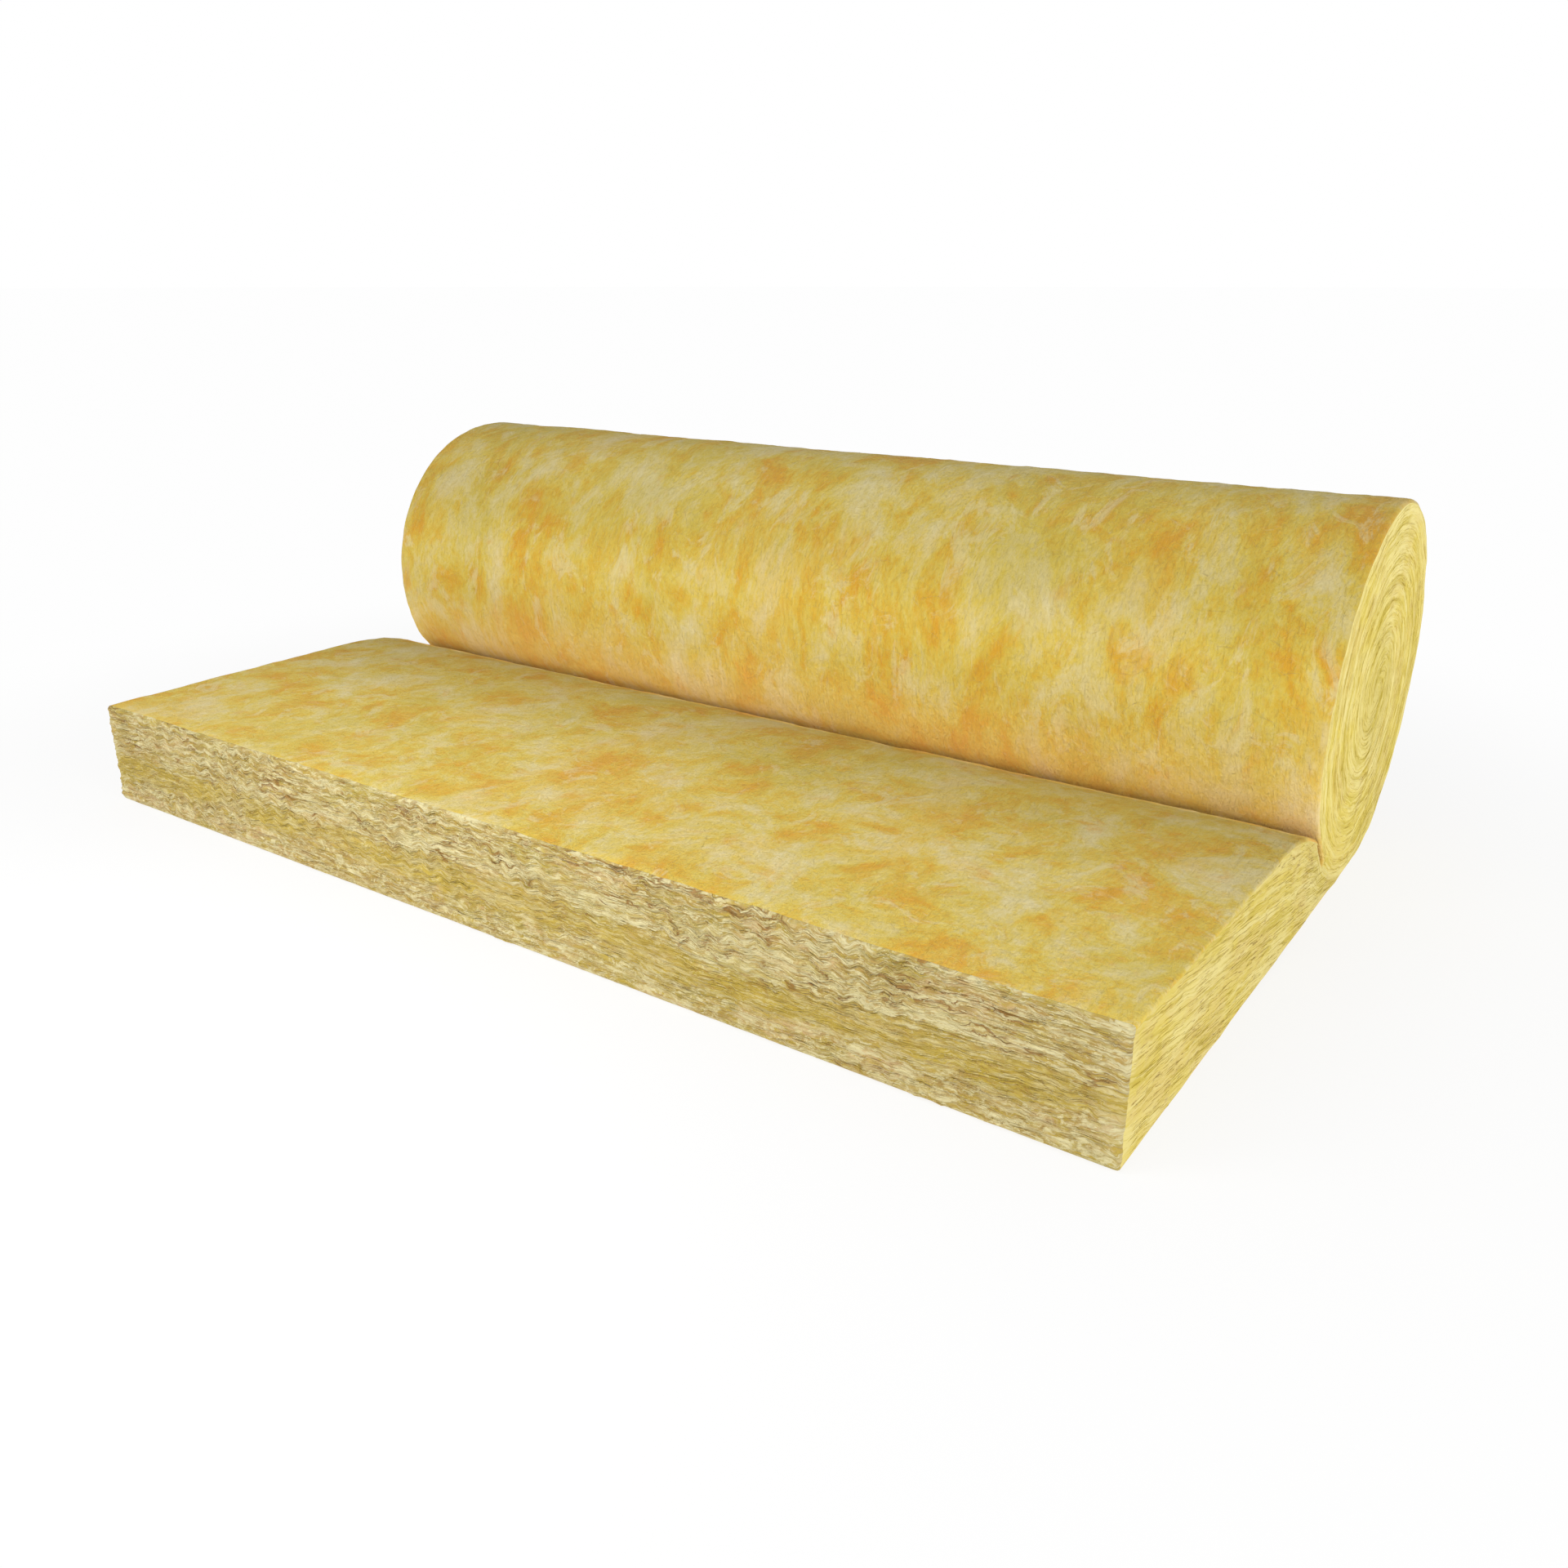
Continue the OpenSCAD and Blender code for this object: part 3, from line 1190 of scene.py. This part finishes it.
class LooseFibres:
    """Tapered fibres that lie on the blanket's faces, joined into one mesh for each kind."""

    def __init__(self, blanket: WoolBlanket, kind: FibreKind) -> None:
        """Keeps the blanket that the fibres lie on, and their kind.

        Args:
            blanket: The finished blanket.
            kind: The fibres' sizes.
        """
        self.blanket = blanket
        self.shape = blanket.shape
        self.kind = kind
        self.chance = np.random.RandomState(kind.seed)
        self.length = self._between(kind.length)
        self.run = np.linspace(-0.5, 0.5, kind.knots)[None, :] * self.length[:, None]

    def _between(self, limits: tuple[float, float], count: int | None = None) -> np.ndarray:
        """Random values between two limits, one for each fibre."""
        return self.chance.uniform(*limits, count or self.kind.count)

    def on_felt(self) -> bpy.types.Object:
        """Strews fibres over the felt, mostly across the roll.

        Returns:
            The piece.
        """
        ring, half = self.blanket.ring, self.shape.width / 2
        far = ring.along[-1]
        turn = self.chance.normal(0.0, 0.55, self.kind.count)
        bend = self.chance.normal(0.0, 14.0, self.kind.count)
        heading = turn[:, None] + bend[:, None] * self.run
        across = self._between((-half, half))[:, None] + self.run * np.cos(heading)
        along = self._between((0.0, far))[:, None] + self.run * np.sin(heading)
        closed = np.vstack([ring.points, ring.points[:1]])
        y, z = (np.interp(along, ring.along, closed[:, i]) for i in (0, 1))
        at = np.clip(np.searchsorted(ring.along, along) - 1, 0, len(ring.zones) - 1)
        felt = np.array([zone is Zone.FELT for zone in ring.zones])[at]
        keep = (felt & (np.abs(across) < half - 0.003) & (z > 0.012)
                & (along > 0.0) & (along < far) & ~self._in_crease(y, z)).all(axis=1)
        return self._make(
            np.stack([across, y, z], axis=2)[keep], np.stack([across, along], axis=2)[keep], keep)

    def _in_crease(self, y: np.ndarray, z: np.ndarray) -> np.ndarray:
        """Finds the spots within the narrow crease under the roll.

        Args:
            y: Places along Y.
            z: Heights.

        Returns:
            True for each spot that lies there.
        """
        shape = self.shape
        radius = np.hypot(y - shape.axis_y, z - shape.roll_radius)
        mouth_y, mouth_z = shape.polar(shape.roll_radius, shape.meet_angle)
        near = np.hypot(y - mouth_y, z - mouth_z) < shape.crease_length + 0.004
        return near & (radius < shape.roll_radius + 0.004) & (z < mouth_z + 0.004)

    def on_cut_face(self) -> bpy.types.Object:
        """Lays torn slivers that follow the crimped layers of the cut face.

        Returns:
            The piece.
        """
        shape, half = self.shape, self.shape.width / 2
        x = self._between((-half, half))[:, None] + self.run
        slope = self.chance.normal(0.0, 0.07, self.kind.count)[:, None]
        layer = self._between((0.0, shape.thickness))[:, None] + slope * self.run
        z = self.blanket.crimp.height_of(x.ravel(), layer.ravel()).reshape(x.shape)
        keep = ((np.abs(x) < half - 0.002) & (z > 0.0015)
                & (z < shape.thickness + 0.0004)).all(axis=1)
        places = np.stack([x, np.full_like(x, shape.front_y), z], axis=2)
        return self._make(places[keep], np.stack([x, layer], axis=2)[keep], keep)

    def on_ends(self) -> bpy.types.Object:
        """Lays fibres that wind with the turns, or lie along the flat end's sides.

        Returns:
            The piece.
        """
        shape, count = self.shape, self.kind.count
        side = np.where(np.arange(count) % 2, 1.0, -1.0)[:, None]
        y = self._between((shape.front_y, shape.depth / 2))
        z = self._between((0.0, 2 * shape.roll_radius))
        winding = Winding.at(shape, y, z)
        angle = winding.angle[:, None] + self.run / np.maximum(winding.radius, 0.02)[:, None]
        radius = shape.roll_radius - shape.turn * (angle / math.tau + winding.share[:, None])
        wound_y, wound_z = shape.polar(radius, angle + shape.meet_angle)
        flat_y = y[:, None] + self.run
        flat_z = z[:, None] - self.run * 0.16
        in_roll = (winding.radius < shape.roll_radius - 0.003)[:, None]
        y = np.where(in_roll, wound_y, flat_y)
        z = np.where(in_roll, wound_z, flat_z)
        across = np.hypot(y - shape.axis_y, z - shape.roll_radius)
        in_flat = (z < shape.top_height(y) - 0.003) & (y < shape.axis_y) & (
            across > shape.roll_radius)
        in_wound = (across < shape.roll_radius - 0.003) & (across > 0.006)
        keep = ((np.where(in_roll, in_wound, in_flat)) & (z > 0.002)
                & (y > shape.front_y + 0.003)).all(axis=1)
        places = np.stack([side * shape.width / 2 + 0 * y, y, z], axis=2)
        return self._make(places[keep], places[keep][:, :, 1:], keep)

    def _make(self, places: np.ndarray, flat: np.ndarray, keep: np.ndarray) -> bpy.types.Object:
        """Lays the fibres on the blanket and joins them into one closed mesh each.

        Args:
            places: Knots of each fibre on the ideal face.
            flat: The same knots on the blanket's flat map.
            keep: Which of the drawn fibres these are.

        Returns:
            The piece.
        """
        kind = self.kind
        count, knots = places.shape[:2]
        surface = BVHTree.FromPolygons(
            [tuple(v.co) for v in self.blanket.piece.data.vertices],
            [tuple(p.vertices) for p in self.blanket.piece.data.polygons])
        hits = [surface.find_nearest(place)[:2] for place in places.reshape(-1, 3).tolist()]
        ground, normal = (np.array([tuple(hit[i]) for hit in hits]).reshape(places.shape)
                          for i in (0, 1))
        width = self._between(kind.half_width)[keep][:, None]
        taper = np.sin(np.linspace(0, math.pi, knots))[None, :] ** 0.6
        loose = self.chance.uniform(-0.2, 1.0, (count, 1)) * taper
        spine = ground + normal * (width * kind.flatness * loose)[:, :, None]
        spine[:, (0, -1)] -= normal[:, (0, -1)] * 0.0003
        tangent = np.gradient(spine, axis=1)
        tangent /= np.linalg.norm(tangent, axis=2, keepdims=True)
        across = np.cross(tangent, normal)
        across /= np.linalg.norm(across, axis=2, keepdims=True)
        rise = np.cross(across, tangent)
        turn = np.arange(kind.sides) * math.tau / kind.sides + math.pi / 2
        size = (width * taper)[:, 1:-1, None, None]
        rings = (spine[:, 1:-1, None] + size * (
            np.cos(turn)[:, None] * across[:, 1:-1, None]
            + kind.flatness * np.sin(turn)[:, None] * rise[:, 1:-1, None]))
        corners = np.concatenate(
            [spine[:, :1], rings.reshape(count, -1, 3), spine[:, -1:]], axis=1)
        corners[:, :, 2] = np.maximum(corners[:, :, 2], 0.0)
        each = self._fibre_faces()
        step = corners.shape[1]
        faces = [tuple(i + fibre * step for i in face)
                 for fibre in range(count) for face in each]
        mesh = bpy.data.meshes.new(kind.name)
        mesh.from_pydata(corners.reshape(-1, 3).tolist(), [], faces)
        mesh.update()
        spread = [0, *np.repeat(np.arange(1, knots - 1), kind.sides), knots - 1]
        spots = flat[:, spread].reshape(-1, 2)
        mesh.uv_layers.new(name=FELT_UV).data.foreach_set(
            "uv", spots[read_corners(mesh)].ravel())
        piece = bpy.data.objects.new(kind.name, mesh)
        bpy.context.scene.collection.objects.link(piece)
        choose(piece)
        bpy.ops.object.shade_smooth()
        return piece

    def _fibre_faces(self) -> list[tuple]:
        """Lists the faces of one fibre: two pointed tips and the bands between its rings.

        Returns:
            The faces, as rows of vertex numbers.
        """
        sides, bands = self.kind.sides, self.kind.knots - 3
        last = 1 + sides * (bands + 1)
        faces = []
        for i in range(sides):
            j = (i + 1) % sides
            faces.append((0, 1 + i, 1 + j))
            for band in range(bands):
                low, high = 1 + band * sides, 1 + (band + 1) * sides
                faces.append((low + i, high + i, high + j, low + j))
            faces.append((last - sides + i, last, last - sides + j))
        return faces


# ---------------------------------------------------------------------------
# Studio
# ---------------------------------------------------------------------------


@dataclass(frozen=True)
class Lamp:
    """A square area lamp: its place, its side in metres and its power in watts."""

    name: str
    place: tuple[float, float, float]
    size: float
    power: float


@dataclass(frozen=True)
class Studio:
    """A pale floor that fades into a white surround, soft light and the camera."""

    camera_at: tuple = (0.8444, -1.1386, 0.5649)
    heading: float = math.radians(34.97)
    dip: float = math.radians(20.87)
    lens: float = 30.81
    surround: float = 1.0
    overhead: float = 0.46
    sky_fade: tuple = (0.17, 0.42)
    floor_radius: float = 60.0
    floor_gap: float = 0.001
    floor_fade: tuple = (0.5, 1.3, 0.80, 0.98)
    paper: tuple = (0.93, 0.93, 0.925, 1.0)
    white: tuple = (1.0, 1.0, 1.0, 1.0)
    aim: tuple = (0.0, 0.0, 0.15)
    lamps: tuple[Lamp, ...] = (
        Lamp("key_light", (0.05, -1.25, 0.95), 1.3, 5.9),
        Lamp("near_light", (-0.2, -1.0, 0.66), 0.6, 4.1),
        Lamp("side_light", (2.1, -0.9, 0.9), 1.3, 15.2))

    def build(self) -> None:
        """Adds the floor, the light and the camera."""
        self._floor()
        self._sky()
        for lamp in self.lamps:
            self._hang(lamp)
        self._camera()

    def _floor(self) -> None:
        """A wide pale floor just under the blanket, as bright as the surround far out."""
        bpy.ops.object.select_all(action="DESELECT")
        bpy.ops.mesh.primitive_circle_add(
            vertices=96, radius=self.floor_radius, fill_type="TRIFAN",
            location=(0, 0, -self.floor_gap))
        floor = bpy.context.object
        floor.name = "studio_floor"
        graph = Graph("studio_paper")
        x, y, _ = graph.place()
        far = (x * x + y * y).sqrt().ramp(*self.floor_fade)
        paper = graph.node("ShaderNodeBsdfDiffuse", {}, {"Color": self.paper})
        glow = graph.node("ShaderNodeEmission", {}, {
            "Color": self.white, "Strength": self.surround})
        mixed = graph.node("ShaderNodeMixShader", {}, {0: far, 1: paper, 2: glow})
        floor.data.materials.append(graph.surface(mixed))

    def _sky(self) -> None:
        """A surround that is white at eye level and softer overhead."""
        scene = bpy.context.scene
        world = bpy.data.worlds.new("studio_sky")
        world.use_nodes = True
        nodes, links = world.node_tree.nodes, world.node_tree.links
        where, split, fade = (nodes.new(f"ShaderNode{kind}") for kind in (
            "TexCoord", "SeparateXYZ", "MapRange"))
        links.new(where.outputs["Generated"], split.inputs[0])
        links.new(split.outputs["Z"], fade.inputs["Value"])
        settings = (*self.sky_fade, self.surround, self.overhead)
        for name, value in zip(("From Min", "From Max", "To Min", "To Max"), settings):
            fade.inputs[name].default_value = value
        links.new(fade.outputs[0], nodes["Background"].inputs["Strength"])
        nodes["Background"].inputs["Color"].default_value = self.white
        scene.world = world
        scene.view_settings.view_transform = "Standard"

    def _hang(self, lamp: Lamp) -> None:
        """Adds one area lamp that looks at the blanket.

        Args:
            lamp: The lamp's place, size and power.
        """
        light = bpy.data.lights.new(lamp.name, "AREA")
        light.size, light.energy = lamp.size, lamp.power
        holder = bpy.data.objects.new(lamp.name, light)
        holder.location = lamp.place
        aim = Vector(self.aim) - Vector(lamp.place)
        holder.rotation_mode = "QUATERNION"
        holder.rotation_quaternion = aim.to_track_quat("-Z", "Y")
        bpy.context.scene.collection.objects.link(holder)

    def _camera(self) -> None:
        """The camera, looking along its heading and slightly down."""
        camera = bpy.data.objects.new("camera", bpy.data.cameras.new("camera"))
        camera.data.lens = self.lens
        camera.data.clip_start = 0.02
        camera.location = self.camera_at
        camera.rotation_euler = (math.pi / 2 - self.dip, 0.0, self.heading)
        bpy.context.scene.collection.objects.link(camera)
        bpy.context.scene.camera = camera


def settle_piece(piece: bpy.types.Object) -> None:
    """Makes a piece ride on the part and reports it.

    Args:
        piece: The piece.
    """
    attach(piece, BODY)
    piece.data.calc_loop_triangles()
    LOG.info("%s: %d triangles", piece.name, len(piece.data.loop_triangles))


def build_fibres(blanket: WoolBlanket, finishes: dict[Zone, bpy.types.Material]) -> None:
    """Lays the three kinds of loose fibres on the blanket.

    Args:
        blanket: The finished blanket.
        finishes: The materials of its faces, which the slivers and end fibres share.
    """
    felt = LooseFibres(blanket, FibreKind(
        "felt_fibres", count=9000, length=(0.010, 0.045), half_width=(0.00012, 0.00028),
        flatness=0.8, sides=3, seed=31)).on_felt()
    felt.data.materials.append(FeltFinish().build("felt_fibre", 0.25))
    cut = LooseFibres(blanket, FibreKind(
        "cut_face_slivers", count=5200, length=(0.012, 0.060), half_width=(0.00025, 0.0007),
        flatness=1.2, sides=4, seed=32)).on_cut_face()
    cut.data.materials.append(finishes[Zone.CUT])
    ends = LooseFibres(blanket, FibreKind(
        "end_fibres", count=13000, length=(0.012, 0.055), half_width=(0.00014, 0.00038),
        flatness=0.9, sides=3, seed=33)).on_ends()
    ends.data.materials.append(finishes[Zone.END])
    for piece in (felt, cut, ends):
        settle_piece(piece)


def main() -> None:
    """Builds the blanket, dresses it, strews its loose fibres and sets the studio."""
    logging.basicConfig(level=logging.INFO, format="%(name)s: %(message)s")
    shape, crimp = BlanketShape.from_frame(), Crimp()
    blanket = WoolBlanket(shape, crimp)
    piece = blanket.build()
    finishes = {Zone.FELT: FeltFinish().build(), Zone.CUT: CutFinish().build(),
                Zone.END: EndFinish().build(shape)}
    for zone in Zone:
        piece.data.materials.append(finishes[zone])
    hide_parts(NODE)
    settle_piece(piece)
    build_fibres(blanket, finishes)
    Studio().build()


if __name__ == "__main__":
    main()
